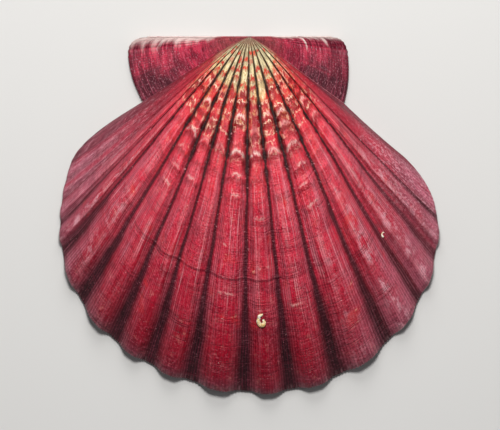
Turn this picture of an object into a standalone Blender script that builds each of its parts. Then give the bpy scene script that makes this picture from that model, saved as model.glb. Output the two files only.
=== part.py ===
"""A scallop shell: one half of the pair, lying on its edge with the ribbed side up.

The shell is one piece, and it grows by one rule. Its edge keeps its outline while it grows away
from the beak, and turns a little about the hinge line as it does. So every older edge is a smaller
copy of the last one, tipped up about the hinge, and the surface is the sweep of that edge. A rib is
the path of one bump in the edge, and the ears and the step beside them are part of the same sweep.

Blender units are metres. X runs along the hinge, +Y to the hinge and +Z up, away from the hollow.
The origin is under the middle of the shell, on the surface that it lies on.
"""

import math

import bmesh
import bpy

MM = 0.001

# The disc's outline, in millimetres from the beak: a lopsided ellipse. Its lower half reaches less
# far on the left than on the right, with a soft change between the two about the middle.
DISC_HALF_WIDTH = 47.0
DISC_CENTRE_DROP = 47.1
DISC_BELOW_LEFT = 40.2
DISC_BELOW_RIGHT = 42.1
DISC_BELOW_CHANGES_TO_DEG = 18.0
DISC_HALF_HEIGHT_LEFT = 47.8
DISC_HALF_HEIGHT_RIGHT = 30.4
DISC_LEFT_SHOULDER_DEG = -55.0
DISC_RIGHT_SHOULDER_DEG = 52.4

# The ears, in millimetres from the beak: where the hinge ends, the bend beside the corner, the
# furthest point, the bend of the side and the notch where the ear meets the disc.
LEFT_EAR = ((-25.2, 0.0), (-30.6, 0.0), (-30.0, -5.0), (-29.6, -10.5), (-26.4, -16.1))
RIGHT_EAR = ((20.5, 0.0), (24.4, 0.0), (24.6, -5.0), (25.2, -11.0), (23.6, -16.4))
# The points that draw each shoulder, between the notch and the ellipse, into its curve.
LEFT_SHOULDER_PULL = (-42.0, -25.0)
RIGHT_SHOULDER_PULL = (30.7, -23.3)

# How the growing edge turns about the hinge.
TURN_AT_BEAK = 1.65
TURN_POWER = 0.30

# The grooves between the ribs, as directions from the beak in degrees, 0 straight down the middle.
GROOVES_DEG = (
    -52.0, -49.0, -45.6, -41.3, -32.8, -24.1, -17.1, -9.8, -0.6, 6.9, 15.0, 24.8, 33.3, 40.7, 46.5,
)
# The height of each rib, as a share of a main rib, with the plain flank at each end.
RIB_SHARES = (
    0.10, 0.25, 0.40, 0.65, 0.9, 1.05, 0.9, 0.95, 1.1, 0.95, 0.95, 1.1, 0.95, 0.9, 0.75, 0.20,
)
# A rib's height at the edge, how slowly it fades towards the beak, and how far it reaches out.
RIB_HEIGHT = 2.1
RIB_FADE_POWER = 0.75
RIB_REACH = 0.8
RIB_CROWN = 0.22
# From a groove to the foot and to the top of a rib's side, as shares of the way to the next groove.
# The grooves are narrow slits at the beak and wide troughs at the edge.
RIB_FOOT_AT_BEAK = 0.01
RIB_FOOT_AT_EDGE = 0.10
RIB_TOP_AT_BEAK = 0.17
RIB_TOP_AT_EDGE = 0.30

# The wall, which is thin at the edge and thick at the hinge.
WALL_AT_EDGE = 1.1
WALL_AT_HINGE = 2.2
HINGE_PLATE_DEPTH = 1.0
HINGE_PLATE_WIDTH = 6.0
SOLID_UNDER_BEAK_TO = 0.16
RIBS_SHOW_INSIDE_FROM = 0.25
# Under the steep shoulders the hollow side leans in, and it stops leaning towards the edge.
LEAN = 0.12
LEAN_FROM_DEG = 44.0
LEAN_FULL_DEG = 52.0
LEAN_ENDS_AT = 0.75
LEAN_AT_NOTCH = 0.5

# How finely the surface is cut up.
GROWTH_STEPS = 15
STEP_POWER = 1.25
EAR_CORNER_STEPS = 3
EAR_SIDE_STEPS = 4
SHOULDER_STEPS = 5
FLANK_STEPS = 3
MAIN_RIB_CUTS = (0.0, 0.07, 0.17, 0.27, 0.5, 0.73, 0.83, 0.93)
SMALL_RIB_CUTS = (0.0, 0.25, 0.5, 0.75)
SMALL_RIB_SHARE = 0.5
WELD_DISTANCE = 0.000001

SHELL_COLOUR = (0.42, 0.035, 0.06, 1.0)
SHELL_ROUGHNESS = 0.45


def clear_scene():
    for old in list(bpy.data.objects):
        bpy.data.objects.remove(old, do_unlink=True)


def smooth_step(low, high, value):
    """0 below low, 1 above high, and a soft rise between them."""
    share = min(1.0, max(0.0, (value - low) / (high - low)))
    return share * share * (3 - 2 * share)


def bend(start, pull, end, share):
    """A point along the curve that leaves start and reaches end, drawn towards pull."""
    left = 1 - share
    return tuple(
        left * left * a + 2 * left * share * b + share * share * c
        for a, b, c in zip(start, pull, end)
    )


def disc_point(degrees):
    """Where the ray from the beak in this direction leaves the disc's ellipse."""
    side, down = math.sin(math.radians(degrees)), math.cos(math.radians(degrees))

    def reach(half_height):
        # The ray's distance solves the ellipse's equation, a quadratic.
        a = (side / DISC_HALF_WIDTH) ** 2 + (down / half_height) ** 2
        b = -2 * down * DISC_CENTRE_DROP / half_height**2
        c = (DISC_CENTRE_DROP / half_height) ** 2 - 1
        return (-b + math.sqrt(b * b - 4 * a * c)) / (2 * a)

    turned_right = smooth_step(-DISC_BELOW_CHANGES_TO_DEG, DISC_BELOW_CHANGES_TO_DEG, degrees)
    far = reach(DISC_BELOW_LEFT + (DISC_BELOW_RIGHT - DISC_BELOW_LEFT) * turned_right)
    if far * down < DISC_CENTRE_DROP:
        far = reach(DISC_HALF_HEIGHT_LEFT if degrees < 0 else DISC_HALF_HEIGHT_RIGHT)
    return (far * side, -far * down)


def rib_rise(share, across, size):
    """The height of a rib, 0 to about 1, this far across it from one groove to the next."""
    foot = RIB_FOOT_AT_BEAK + (RIB_FOOT_AT_EDGE - RIB_FOOT_AT_BEAK) * size
    top = RIB_TOP_AT_BEAK + (RIB_TOP_AT_EDGE - RIB_TOP_AT_BEAK) * size
    side = smooth_step(foot, top, min(across, 1 - across))
    return share * side * (1 - RIB_CROWN + RIB_CROWN * math.sin(math.pi * across))


def disc_stations():
    """The edge of the disc from left to right, as (x, y, rib share, place across it, lean)."""
    stations = []
    ends = (DISC_LEFT_SHOULDER_DEG, *GROOVES_DEG, DISC_RIGHT_SHOULDER_DEG)
    for number, share in enumerate(RIB_SHARES):
        first, last = ends[number], ends[number + 1]
        is_flank = number in (0, len(RIB_SHARES) - 1)
        if is_flank:
            cuts = [step / FLANK_STEPS for step in range(FLANK_STEPS)]
        else:
            cuts = MAIN_RIB_CUTS if share > SMALL_RIB_SHARE else SMALL_RIB_CUTS
        for cut in cuts:
            degrees = first + (last - first) * cut
            lean = smooth_step(LEAN_FROM_DEG, LEAN_FULL_DEG, abs(degrees))
            stations.append((*disc_point(degrees), share, cut, lean))
    stations.append((*disc_point(DISC_RIGHT_SHOULDER_DEG), 0.0, 0.0, 1.0))
    return stations


def ear_stations(ear):
    """The edge of an ear from the hinge to the notch. An ear has no ribs."""
    hinge_end, corner, furthest, side, notch = ear
    stations = []
    for step in range(EAR_CORNER_STEPS):
        point = bend(hinge_end, corner, furthest, step / EAR_CORNER_STEPS)
        stations.append((*point, 0.0, 0.0, 0.0))
    for step in range(EAR_SIDE_STEPS + 1):
        share = step / EAR_SIDE_STEPS
        point = bend(furthest, side, notch, share)
        stations.append((*point, 0.0, 0.0, LEAN_AT_NOTCH * share))
    return stations


def shoulder_stations(notch, pull, disc_end):
    """The edge of the disc between an ear's notch and the ellipse, where the lean grows."""
    stations = []
    for step in range(1, SHOULDER_STEPS):
        share = step / SHOULDER_STEPS
        lean = LEAN_AT_NOTCH + (1 - LEAN_AT_NOTCH) * share
        stations.append((*bend(notch, pull, disc_end[:2], share), 0.0, 0.0, lean))
    return stations


def edge_stations():
    """The whole edge, from the left end of the hinge round to its right end."""
    disc = disc_stations()
    left = ear_stations(LEFT_EAR)
    right = ear_stations(RIGHT_EAR)
    left_shoulder = shoulder_stations(LEFT_EAR[-1], LEFT_SHOULDER_PULL, disc[0])
    right_shoulder = shoulder_stations(RIGHT_EAR[-1], RIGHT_SHOULDER_PULL, disc[-1])
    return left + left_shoulder + disc + right_shoulder[::-1] + right[::-1]


def grown(x, y, size, turned=1.0):
    """A point of the edge as it was when the shell had this share of its size."""
    turn = TURN_AT_BEAK * (1 - size**TURN_POWER) * turned
    return (x * size, y * size * math.cos(turn), -y * size * math.sin(turn))


def wall_thickness(size, below_hinge):
    thick = WALL_AT_HINGE + (WALL_AT_EDGE - WALL_AT_HINGE) * smooth_step(0.0, 1.0, size)
    near_hinge = 1 - smooth_step(0.0, HINGE_PLATE_WIDTH, below_hinge)
    return max(thick, WALL_AT_HINGE * near_hinge)


def outer_point(station, size):
    x, y, share, across, _ = station
    rib = rib_rise(share, across, size)
    spread = 1 + RIB_REACH * rib / math.hypot(x, y)
    px, py, pz = grown(x * spread, y * spread, size)
    return (px, py, pz + RIB_HEIGHT * rib * size**RIB_FADE_POWER + wall_thickness(size, -py))


def inner_point(station, size):
    """The hollow side. It lies flat under the hinge, and shows the ribs towards the edge."""
    x, y, share, across, lean = station
    rib = rib_rise(share, across, size)
    spread = 1 + RIB_REACH * rib / math.hypot(x, y)
    px, py, pz = grown(x * spread, y * spread, size, smooth_step(0.0, SOLID_UNDER_BEAK_TO, size))
    px *= 1 - LEAN * lean * (1 - smooth_step(LEAN_ENDS_AT, 1.0, size))
    shown = smooth_step(RIBS_SHOW_INSIDE_FROM, 1.0, size)
    plate = HINGE_PLATE_DEPTH * (1 - smooth_step(0.0, HINGE_PLATE_WIDTH, -py))
    ribbed = RIB_HEIGHT * rib * size**RIB_FADE_POWER * shown
    return (px, py, max(0.0, pz + ribbed - plate))


def hinge_point(station, size):
    """The middle of the hinge's edge, where the ribbed side and the hollow side meet."""
    outer = outer_point(station, size)
    return (outer[0], 0.0, outer[2] / 2)


def build_shell():
    """Wraps one grid round the shell: out along the ribbed side, back along the hollow side."""
    stations = edge_stations()
    stations = [stations[0], *stations, stations[-1]]
    columns = len(stations) - 1
    rows = 2 * GROWTH_STEPS + 1

    bm = bmesh.new()
    bmesh.ops.create_grid(bm, x_segments=columns, y_segments=rows, size=0.5)
    for vertex in bm.verts:
        column = round((vertex.co.x + 0.5) * columns)
        row = round((vertex.co.y + 0.5) * rows)
        on_outside = row <= GROWTH_STEPS
        step = row if on_outside else rows - row
        size = (step / GROWTH_STEPS) ** STEP_POWER
        if column in (0, columns):
            place = hinge_point
        else:
            place = outer_point if on_outside else inner_point
        vertex.co = [value * MM for value in place(stations[column], size)]
    bmesh.ops.remove_doubles(bm, verts=bm.verts, dist=WELD_DISTANCE)
    bmesh.ops.recalc_face_normals(bm, faces=bm.faces)

    middle_x = (max(v.co.x for v in bm.verts) + min(v.co.x for v in bm.verts)) / 2
    middle_y = (max(v.co.y for v in bm.verts) + min(v.co.y for v in bm.verts)) / 2
    bmesh.ops.translate(bm, verts=bm.verts, vec=(-middle_x, -middle_y, 0.0))

    mesh = bpy.data.meshes.new("scallop_shell")
    bm.to_mesh(mesh)
    bm.free()
    mesh.shade_smooth()
    mesh.set_sharp_from_angle(angle=math.radians(50))
    return bpy.data.objects.new("scallop_shell", mesh)


def shell_material():
    material = bpy.data.materials.new("shell_red")
    material.use_nodes = True
    surface = material.node_tree.nodes["Principled BSDF"]
    surface.inputs["Base Color"].default_value = SHELL_COLOUR
    surface.inputs["Roughness"].default_value = SHELL_ROUGHNESS
    surface.inputs["Metallic"].default_value = 0.0
    return material


def main():
    clear_scene()
    shelf = bpy.data.collections.new("Scallop shell")
    bpy.context.scene.collection.children.link(shelf)
    shell = build_shell()
    shell.data.materials.append(shell_material())
    shelf.objects.link(shell)


main()
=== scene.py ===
# %% [markdown]
# # A scallop shell, grown by a rule
# The model is one half of a scallop's shell. It lies on its edge with the ribs up, and the camera
# looks straight down on it. Its solid form comes from a fixed frame, in metres. This script grows a
# finer skin over that solid, colours it, lights it and sets the camera.

# %% Load the frame
import math

import bmesh
import bpy
import numpy as np
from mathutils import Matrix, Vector
from mathutils.bvhtree import BVHTree


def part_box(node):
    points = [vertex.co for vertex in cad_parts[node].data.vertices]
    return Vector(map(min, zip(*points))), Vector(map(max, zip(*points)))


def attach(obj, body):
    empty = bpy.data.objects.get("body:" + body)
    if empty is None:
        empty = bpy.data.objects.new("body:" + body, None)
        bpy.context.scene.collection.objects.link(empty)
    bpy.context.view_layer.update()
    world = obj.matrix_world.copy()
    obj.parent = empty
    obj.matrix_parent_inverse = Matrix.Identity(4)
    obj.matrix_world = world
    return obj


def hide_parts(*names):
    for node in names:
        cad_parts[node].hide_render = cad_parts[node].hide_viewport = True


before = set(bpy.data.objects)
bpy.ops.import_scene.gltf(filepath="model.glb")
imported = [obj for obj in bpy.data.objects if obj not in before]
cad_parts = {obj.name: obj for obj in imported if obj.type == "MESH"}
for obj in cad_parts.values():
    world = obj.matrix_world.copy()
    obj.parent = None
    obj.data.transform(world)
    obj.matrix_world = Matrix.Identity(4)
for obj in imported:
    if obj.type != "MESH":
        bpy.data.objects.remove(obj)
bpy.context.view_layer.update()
low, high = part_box("scallop_shell")
print("The solid's box in metres:", [round(v, 4) for v in low], [round(v, 4) for v in high])

# %% [markdown]
# ## The camera
# The shell was seen from straight above, from far enough away that its dome is hardly enlarged. A
# long lens at a good distance gives the same flat look. The frame is 500 pixels wide, and one pixel
# covers a quarter of a millimetre of the shell.

# %% Set the camera
PIXEL = 0.00025
FRAME_WIDTH_PX = 500
SENSOR_MM = 36.0
LENS_MM = 600.0

camera_data = bpy.data.cameras.new("camera")
camera_data.lens = LENS_MM
camera_data.sensor_width = SENSOR_MM
camera = bpy.data.objects.new("camera", camera_data)
camera_height = FRAME_WIDTH_PX * PIXEL * LENS_MM / SENSOR_MM
camera.location = (0.0002, 0.0001, camera_height)
bpy.context.scene.collection.objects.link(camera)
bpy.context.scene.camera = camera
print("The camera hangs", round(camera_height, 3), "m above the floor")

# %% [markdown]
# ## Sums in nodes
# Both the shape and the colours of this shell follow formulas, and a formula of loose math nodes is
# hard to read. The small class below wraps a node's output, so that Python's own signs add a math
# node each. The same class serves Geometry Nodes and materials, because they share these nodes.

# %% A socket that takes Python's signs


def feed(socket, value):
    """Gives a socket a plain value, or links a Term into it."""
    if isinstance(value, Term):
        socket.id_data.links.new(value.socket, socket)
    else:
        socket.default_value = value


def add_node(tree, kind, **settings):
    node = tree.nodes.new(kind)
    for name, value in settings.items():
        setattr(node, name, value)
    return node


class Term:
    """One number or vector in a node tree."""

    def __init__(self, socket):
        self.socket = socket
        self.tree = socket.id_data

    def math(self, operation, *values):
        node = add_node(self.tree, "ShaderNodeMath", operation=operation)
        for socket, value in zip(node.inputs, values):
            feed(socket, value)
        return Term(node.outputs[0])

    def __add__(self, other):
        return self.math("ADD", self, other)

    def __radd__(self, other):
        return self.math("ADD", other, self)

    def __sub__(self, other):
        return self.math("SUBTRACT", self, other)

    def __rsub__(self, other):
        return self.math("SUBTRACT", other, self)

    def __mul__(self, other):
        return self.math("MULTIPLY", self, other)

    def __rmul__(self, other):
        return self.math("MULTIPLY", other, self)

    def __truediv__(self, other):
        return self.math("DIVIDE", self, other)

    def __rtruediv__(self, other):
        return self.math("DIVIDE", other, self)

    def __pow__(self, other):
        return self.math("POWER", self, other)

    def __abs__(self):
        return self.math("ABSOLUTE", self)


# %% Helpers that use such terms


def least(first, second):
    return first.math("MINIMUM", first, second)


def most(first, second):
    return first.math("MAXIMUM", first, second)


def sine(angle):
    return angle.math("SINE", angle)


def cosine(angle):
    return angle.math("COSINE", angle)


def whole(value):
    return value.math("FLOOR", value)


def smooth(value, start, end):
    """0 before start, 1 after end, and a soft rise between them. It falls if start is the larger."""
    node = add_node(value.tree, "ShaderNodeMapRange", interpolation_type="SMOOTHSTEP")
    for socket, given in zip(node.inputs, (value, start, end)):
        feed(socket, given)
    return Term(node.outputs[0])


def between(share, first, second):
    """The first number where share is 0, and the second where it is 1."""
    return (second - first) * share + first


def bump_at(value, place, width):
    """1 at the place, falling to 0 at this distance on both sides."""
    return 1 - smooth(abs(value - place), 0.0, width)


def joined(x, y, z):
    tree = next(part.tree for part in (x, y, z) if isinstance(part, Term))
    node = add_node(tree, "ShaderNodeCombineXYZ")
    for socket, value in zip(node.inputs, (x, y, z)):
        feed(socket, value)
    return Term(node.outputs[0])


def parts_of(vector):
    node = add_node(vector.tree, "ShaderNodeSeparateXYZ")
    feed(node.inputs[0], vector)
    return [Term(socket) for socket in node.outputs]


def noise(where, scale, detail=2.0, roughness=0.5):
    """Soft random values around a half."""
    node = add_node(where.tree, "ShaderNodeTexNoise", noise_dimensions="3D")
    given = {"Vector": where, "Scale": scale, "Detail": detail, "Roughness": roughness}
    for name, value in given.items():
        feed(node.inputs[name], value)
    return Term(node.outputs[0])


def dice(where):
    """One even random value from 0 to 1 for each vector."""
    node = add_node(where.tree, "ShaderNodeTexWhiteNoise", noise_dimensions="3D")
    feed(node.inputs["Vector"], where)
    return Term(node.outputs[0])


# %% [markdown]
# ## The growing edge
# A scallop's shell is the track of its own edge. The edge keeps its outline while it grows away from
# the beak. So the outline is drawn once, in millimetres from the beak: straight under the ears,
# round along the disc. Every stretch of it also knows which rib it belongs to and how far across
# that rib it lies. Points come four to a riblet, the fine thread that runs along the ribs.

# %% The outline's sizes
MM = 0.001
DISC_HALF_WIDTH = 47.0
DISC_CENTRE_DROP = 47.1
DISC_BELOW_LEFT = 40.2
DISC_BELOW_RIGHT = 42.1
DISC_BELOW_CHANGES_TO_DEG = 18.0
DISC_HALF_HEIGHT_LEFT = 47.8
DISC_HALF_HEIGHT_RIGHT = 30.4
LEFT_SHOULDER_DEG = -55.0
RIGHT_SHOULDER_DEG = 52.4
LEFT_SHOULDER_PULL = (-42.0, -25.0)
RIGHT_SHOULDER_PULL = (30.7, -23.3)
LEFT_EAR = ((-25.2, 0.0), (-30.6, 0.0), (-30.0, -5.0), (-29.6, -10.5), (-26.4, -16.1))
RIGHT_EAR = ((20.5, 0.0), (24.4, 0.0), (24.6, -5.0), (25.2, -11.0), (23.6, -16.4))
GROOVES_DEG = (
    -52.0, -49.0, -45.6, -41.3, -32.8, -24.1, -17.1, -9.8, -0.6, 6.9, 15.0, 24.8, 33.3, 40.7, 46.5,
)
RIB_SHARES = (
    0.10, 0.25, 0.40, 0.65, 0.9, 1.05, 0.9, 0.95, 1.1, 0.95, 0.95, 1.1, 0.95, 0.9, 0.75, 0.20,
)
RIB_COUNT = len(RIB_SHARES)
LEAN_FROM_DEG = 44.0
LEAN_FULL_DEG = 52.0
LEAN_AT_NOTCH = 0.5

# How many points each stretch of the edge has. Every count is a multiple of four.
MAIN_RIB_POINTS = 72
SMALL_RIB_POINTS = 36
FLANK_POINTS = 40
SMALL_RIB_SHARE = 0.5
SHOULDER_POINTS = 20
EAR_CORNER_POINTS = 24
EAR_SIDE_POINTS = 64
HINGE_POINTS = 4

# %% The outline's points


def eased(value, start, end):
    """The same soft rise as smooth(), for plain numbers."""
    share = min(1.0, max(0.0, (value - start) / (end - start)))
    return share * share * (3 - 2 * share)


def bend(start, pull, end, share):
    """A point along the curve that leaves start and reaches end, drawn towards pull."""
    left = 1 - share
    return tuple(
        left * left * a + 2 * left * share * b + share * share * c
        for a, b, c in zip(start, pull, end)
    )


def disc_point(degrees):
    """Where the ray from the beak in this direction leaves the disc's ellipse."""
    side, down = math.sin(math.radians(degrees)), math.cos(math.radians(degrees))

    def reach(half_height):
        a = (side / DISC_HALF_WIDTH) ** 2 + (down / half_height) ** 2
        b = -2 * down * DISC_CENTRE_DROP / half_height**2
        c = (DISC_CENTRE_DROP / half_height) ** 2 - 1
        return (-b + math.sqrt(b * b - 4 * a * c)) / (2 * a)

    turned_right = eased(degrees, -DISC_BELOW_CHANGES_TO_DEG, DISC_BELOW_CHANGES_TO_DEG)
    far = reach(DISC_BELOW_LEFT + (DISC_BELOW_RIGHT - DISC_BELOW_LEFT) * turned_right)
    if far * down < DISC_CENTRE_DROP:
        far = reach(DISC_HALF_HEIGHT_LEFT if degrees < 0 else DISC_HALF_HEIGHT_RIGHT)
    return (far * side, -far * down)


def edge_point(place, share=0.0, rib=0.0, across=0.0, lean=0.0, ear=0.0, wrap=0.0, down=0.0):
    """One point of the edge: its place, its rib, and how it lies on the ears and the hinge."""
    return (*place, share, rib + across, lean, ear, wrap, down)


def ear_edge(ear, ear_number, rib_place):
    """An ear's edge from the middle of the hinge's thickness to the notch beside the disc."""
    hinge_end, corner, furthest, side, notch = ear
    points = []
    for step in range(HINGE_POINTS):
        wrap = 1 - step / HINGE_POINTS
        points.append(edge_point(hinge_end, rib=rib_place, ear=ear_number, wrap=wrap))
    for step in range(EAR_CORNER_POINTS):
        place = bend(hinge_end, corner, furthest, step / EAR_CORNER_POINTS)
        down = step / (EAR_CORNER_POINTS + EAR_SIDE_POINTS)
        points.append(edge_point(place, rib=rib_place, ear=ear_number, down=down))
    for step in range(EAR_SIDE_POINTS):
        share = step / EAR_SIDE_POINTS
        place = bend(furthest, side, notch, share)
        down = (step + EAR_CORNER_POINTS) / (EAR_CORNER_POINTS + EAR_SIDE_POINTS)
        lean = LEAN_AT_NOTCH * share
        points.append(edge_point(place, rib=rib_place, ear=ear_number, lean=lean, down=down))
    return points


def shoulder_edge(notch, pull, disc_end, rib_place):
    """The edge of the disc between an ear's notch and the ellipse."""
    points = []
    for step in range(SHOULDER_POINTS):
        share = step / SHOULDER_POINTS
        place = bend(notch, pull, disc_end, share)
        lean = LEAN_AT_NOTCH + (1 - LEAN_AT_NOTCH) * share
        points.append(edge_point(place, rib=rib_place, lean=lean))
    return points


def disc_edge():
    """The edge of the disc from its left shoulder to its right one, rib by rib."""
    points = []
    ends = (LEFT_SHOULDER_DEG, *GROOVES_DEG, RIGHT_SHOULDER_DEG)
    for rib, share in enumerate(RIB_SHARES):
        if rib in (0, RIB_COUNT - 1):
            count = FLANK_POINTS
        else:
            count = MAIN_RIB_POINTS if share > SMALL_RIB_SHARE else SMALL_RIB_POINTS
        for step in range(count):
            across = step / count
            degrees = ends[rib] + (ends[rib + 1] - ends[rib]) * across
            lean = eased(abs(degrees), LEAN_FROM_DEG, LEAN_FULL_DEG)
            points.append(edge_point(disc_point(degrees), share, rib, across, lean))
    return points


left_ear = ear_edge(LEFT_EAR, 1.0, 0.0)
left_end, right_end = disc_point(LEFT_SHOULDER_DEG), disc_point(RIGHT_SHOULDER_DEG)
left_shoulder = shoulder_edge(LEFT_EAR[-1], LEFT_SHOULDER_PULL, left_end, 0.0)
right_ear = ear_edge(RIGHT_EAR, 2.0, RIB_COUNT)
right_shoulder = shoulder_edge(RIGHT_EAR[-1], RIGHT_SHOULDER_PULL, right_end, RIB_COUNT)
right_side = right_ear + right_shoulder + [edge_point(right_end, rib=RIB_COUNT, lean=1.0)]
edge_points = np.array(left_ear + left_shoulder + disc_edge() + right_side[::-1])
columns = len(edge_points) - 1
print("The edge has", columns, "steps for", RIB_COUNT, "ribs and flanks")

# %% The edge as an object that the nodes can read


def with_attribute(mesh, name, values):
    attribute = mesh.attributes.new(name, "FLOAT_VECTOR", "POINT")
    attribute.data.foreach_set("vector", np.ascontiguousarray(values, np.float32).ravel())


def edge_object():
    mesh = bpy.data.meshes.new("growing_edge")
    places = np.zeros((len(edge_points), 3))
    places[:, :2] = edge_points[:, :2]
    mesh.from_pydata(places.tolist(), [(n, n + 1) for n in range(columns)], [])
    with_attribute(mesh, "rib", edge_points[:, [2, 3, 4]])
    with_attribute(mesh, "ear", edge_points[:, [5, 6, 7]])
    return bpy.data.objects.new("growing_edge", mesh)


growing_edge = edge_object()

# %% [markdown]
# ## The net
# The skin starts as a flat net. Across it lie the edge's points, and up it lies growth: 0 is the
# beak, 1 is the finished edge, and from there to 2 the net goes back along the hollow side to the
# beak again. A real shell shows its fine threads only where it is wide, so the net is coarse near
# the beak and is cut finer in two places as it grows. Rows lie close together at the two lines
# where the animal once stopped growing for a while.

# %% Rows and columns of the net
RIM_SHARE = 0.03
COARSE = 4
MIDDLE_FROM = 0.22
FINE_FROM = 0.5
HOLLOW_MIDDLE_FROM = 0.90
HOLLOW_FINE_FROM = 0.965
BEAK_ROWS = 14
MIDDLE_ROWS = 21
FINE_ROWS = 30
BEAK_ROW_POWER = 1.25
REST_LINES = (0.693, 0.834)
ROWS_BESIDE_A_LINE = (-0.0045, -0.0015, 0.0015, 0.0045)


def growth_rows():
    """The sizes at which the net has a row, from the beak to the edge."""
    rows = [MIDDLE_FROM * (n / BEAK_ROWS) ** BEAK_ROW_POWER for n in range(BEAK_ROWS)]
    rows += list(np.linspace(MIDDLE_FROM, FINE_FROM, MIDDLE_ROWS, endpoint=False))
    fine = np.linspace(FINE_FROM, 1.0, FINE_ROWS)
    far_from_lines = [s for s in fine if all(abs(s - line) > 0.007 for line in REST_LINES)]
    rows += far_from_lines + [line + off for line in REST_LINES for off in ROWS_BESIDE_A_LINE]
    return sorted(rows)


sizes = growth_rows()
rim_rows = [1 + RIM_SHARE / 3, 1 + RIM_SHARE * 2 / 3]
net_rows = sizes + rim_rows + [2 - size * (1 - RIM_SHARE) for size in reversed(sizes)]
print("The net has", len(net_rows), "rows")

# %% Make the net


def fineness(row):
    """1, 2 or 4 columns where the net has one at its coarsest."""
    if row < 1:
        return 1 + (row > MIDDLE_FROM + 0.001) + 2 * (row > FINE_FROM + 0.001)
    size = (2 - row) / (1 - RIM_SHARE)
    return 1 + (size > HOLLOW_MIDDLE_FROM) + 2 * (size > HOLLOW_FINE_FROM)


def make_net():
    bm = bmesh.new()
    across, up = columns // COARSE, len(net_rows) - 1
    bmesh.ops.create_grid(bm, x_segments=across, y_segments=up, size=0.5)
    for vertex in bm.verts:
        column = round((vertex.co.x + 0.5) * across) * COARSE
        row = round((vertex.co.y + 0.5) * up)
        vertex.co = (column, net_rows[row], 0.0)
    for fine_enough in (2, 4):
        cut = [
            edge
            for edge in bm.edges
            if abs(edge.verts[0].co.y - edge.verts[1].co.y) < 1e-6
            and fineness(edge.verts[0].co.y) >= fine_enough
        ]
        bmesh.ops.subdivide_edges(bm, edges=cut, cuts=1)
    mesh = bpy.data.meshes.new("net")
    bm.to_mesh(mesh)
    bm.free()
    return bpy.data.objects.new("net", mesh)


net = make_net()
bpy.context.scene.collection.objects.link(net)
print("The net has", len(net.data.polygons), "faces")

# %% [markdown]
# ## Growing the shell
# Geometry Nodes move every point of the net to its place on the shell. The rule is the one that the
# animal follows: a younger edge is a smaller copy, turned about the hinge. Ribs, threads, the low
# ledges at the rest lines and the swellings on the bold ribs are added to its height. Named inputs
# hold the sizes, in millimetres, so that the shell can be tried with other ribs or a deeper dome.

# %% The tree's named inputs
GROWING_SIZES = {
    "Turn at beak": 1.65,
    "Turn power": 0.30,
    "Rib height": 2.1,
    "Rib fade power": 0.75,
    "Rib reach": 0.8,
    "Rib crown": 0.40,
    "Groove wave": 0.125,
    "Rim teeth": 0.10,
    "Rim chips": 0.45,
    "Shoulder chips": 1.5,
    "Knob height": 0.62,
    "Thread height": 0.075,
    "Ear thread height": 0.11,
    "Wall at edge": 1.1,
    "Wall at hinge": 2.2,
    "Hinge plate depth": 1.0,
    "Hinge plate width": 6.0,
    "Rest line depth": 0.06,
    "Swelling height": 0.45,
    "Rib wander": 0.009,
    "Roughness of growth": 0.10,
    "Seed": 3.0,
}
SWELLINGS = (0.258, 0.356)
BOLD_SHARE = 1.02


def read_points(tree, edge, column, name):
    """A vector of the edge, at the net's own column."""
    sample = add_node(tree, "GeometryNodeSampleIndex", data_type="FLOAT_VECTOR", domain="POINT")
    feed(sample.inputs["Geometry"], edge)
    feed(sample.inputs["Index"], column)
    if name == "place":
        source = add_node(tree, "GeometryNodeInputPosition").outputs[0]
    else:
        read = add_node(tree, "GeometryNodeInputNamedAttribute", data_type="FLOAT_VECTOR")
        read.inputs["Name"].default_value = name
        source = read.outputs[0]
    tree.links.new(source, sample.inputs["Value"])
    return parts_of(Term(sample.outputs[0]))


# %% The rule of growth, in nodes


def waved(across, rib, size, wave, seed):
    """The share of a rib from its nearer groove. Each side of a groove waves on its own."""
    from_groove = least(across, 1 - across)
    side = rib + smooth(across, 0.499, 0.501) * 0.5
    along = noise(joined(side * 9.0, size * 30.0, seed), 1.0, 3.0) - 0.5
    knobby = between(smooth(size, 0.34, 0.58), 1.0, 0.30) * smooth(size, 0.14, 0.24)
    knobby = knobby * (1 - smooth(size, 0.93, 1.0)) * smooth(from_groove, 0.0, 0.07)
    return from_groove + along * wave * knobby * 2.0


def rib_profile(from_groove, size):
    """0 in a groove and 1 on a rib. Grooves are slits at the beak and troughs at the edge."""
    foot = 0.07 * size + 0.01
    top = 0.20 * size + 0.19
    return smooth(from_groove, foot, top)


def ledge(size, at, depth):
    """A step down just after a rest line, which the shell soon grows out of."""
    after = smooth(size, at - 0.002, at + 0.003)
    fading = (-14.0 * most(size - at, 0.0)).math("EXPONENT", -14.0 * most(size - at, 0.0))
    return -1.0 * depth * after * fading


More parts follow.
